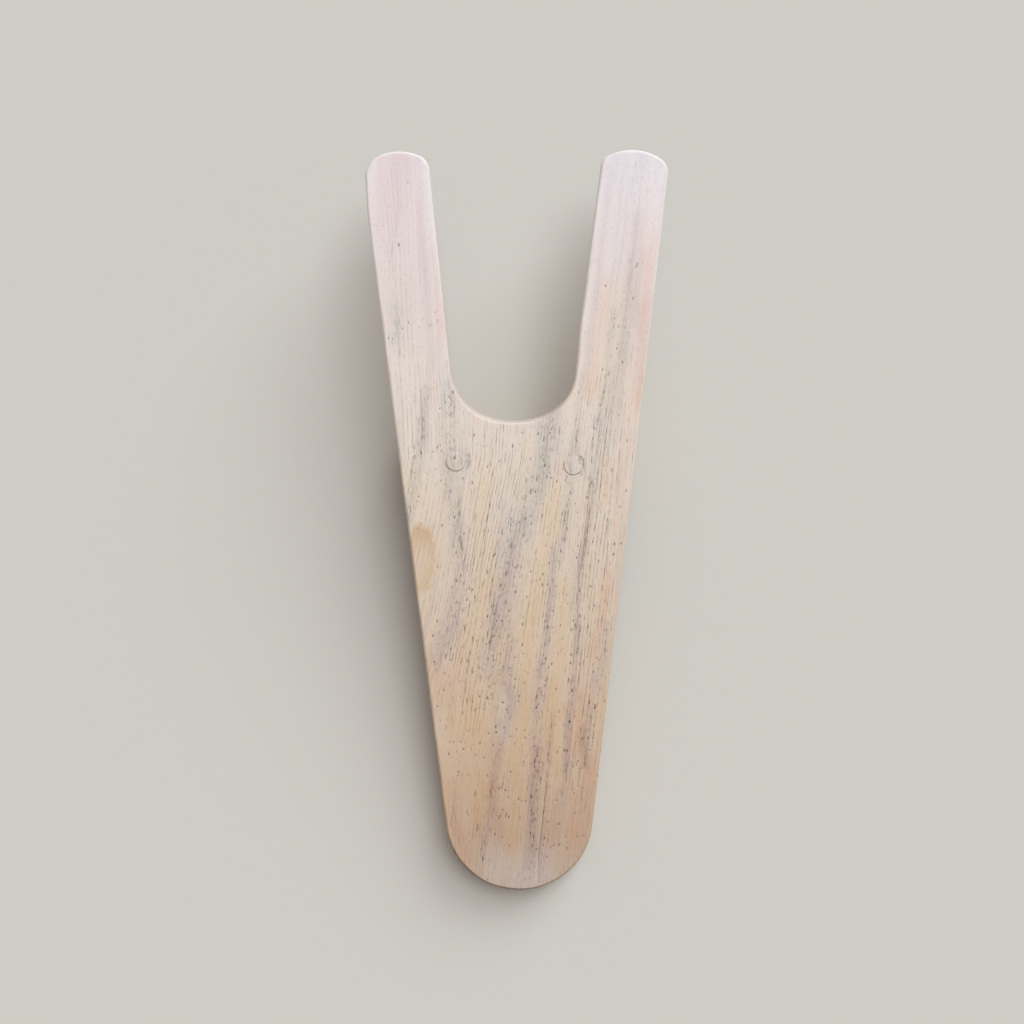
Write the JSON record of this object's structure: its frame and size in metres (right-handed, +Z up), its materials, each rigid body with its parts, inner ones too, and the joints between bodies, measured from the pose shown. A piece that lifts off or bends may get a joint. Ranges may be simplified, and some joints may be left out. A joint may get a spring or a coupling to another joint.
{
  "type": "boot jack",
  "caption": "Sloping wooden board with a deep heel notch between rounded prongs, raised on a cross block, for pulling off boots.",
  "frame": {"origin": "on the floor, below the middle of the bounding box", "axes": "+Y along the board towards the prongs, +X across towards the right prong, +Z up from the floor"},
  "size_m": [0.1504, 0.3795, 0.07],
  "materials": {
    "board_wood": "whitewashed hardwood, sanded smooth and worn matt",
    "riser_wood": "whitewashed hardwood, matt",
    "plug_wood": "face-grain wood plug, sanded flush",
    "screw_steel": "zinc-plated"
  },
  "bodies": {
    "root": {"board": "board_wood", "riser_block": "riser_wood", "screw_left": "screw_steel", "screw_right": "screw_steel", "plug_left": "plug_wood", "plug_right": "plug_wood"}
  },
  "joints": []
}
